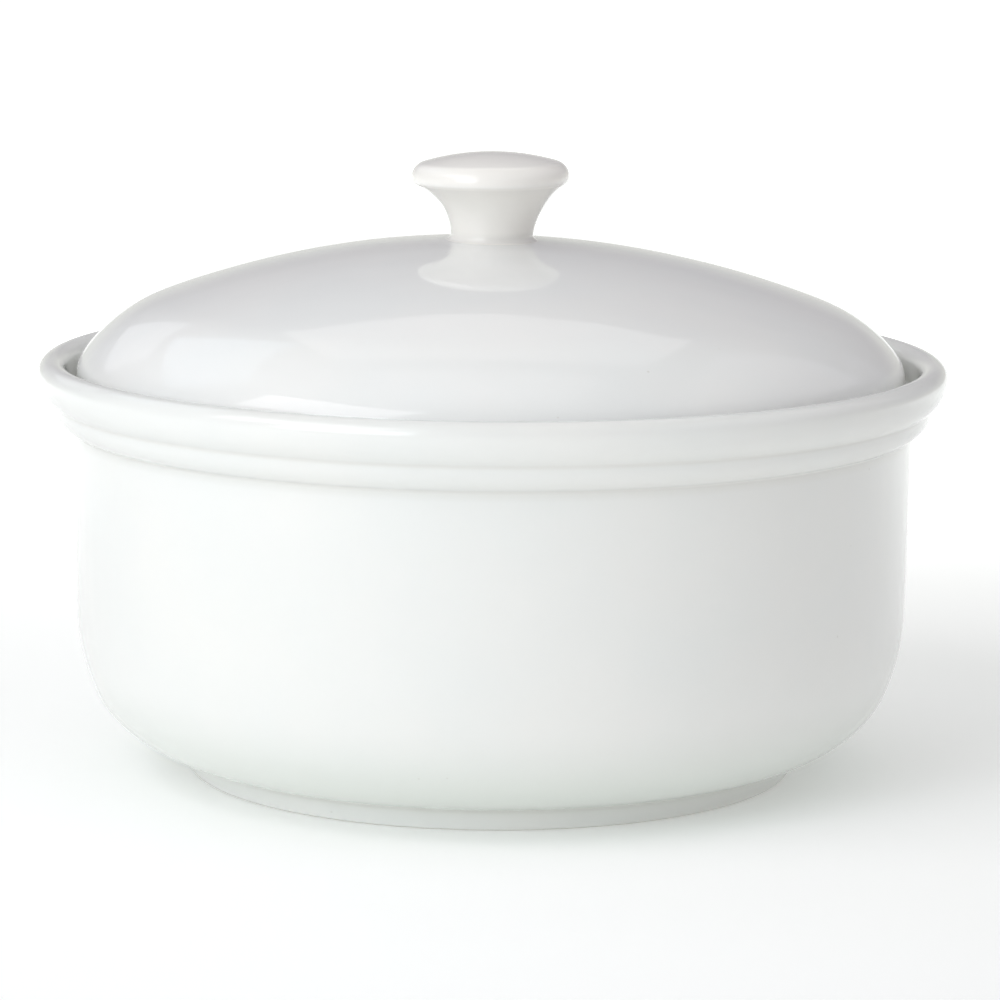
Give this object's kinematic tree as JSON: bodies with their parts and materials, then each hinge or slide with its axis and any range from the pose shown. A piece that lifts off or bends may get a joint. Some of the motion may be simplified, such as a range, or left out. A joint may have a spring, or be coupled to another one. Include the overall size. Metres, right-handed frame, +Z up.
{
  "type": "covered casserole dish",
  "caption": "Round casserole dish in white glazed ceramic: footed bowl with a beaded, flared rim and a domed lid that sits down inside it, lifted by a mushroom knob.",
  "frame": {"origin": "centre of the foot ring's resting plane", "axes": "+Z up, the common axis of the dish, the lid and the knob; X and Y are any two level directions, because every piece is round"},
  "size_m": [0.215, 0.215, 0.1464],
  "materials": {
    "white_glaze": "glossy clear glaze over a white body; the foot ring's resting face is bare, smooth clay"
  },
  "bodies": {
    "dish": {"dish_body": "white_glaze"},
    "lid": {"lid_shell": "white_glaze", "lid_knob": "white_glaze"}
  },
  "joints": [
    {"name": "lid_lift", "type": "slide", "parent": "dish", "child": "lid", "axis": [0, 0, 1], "range_m": [0, 0.15]}
  ]
}
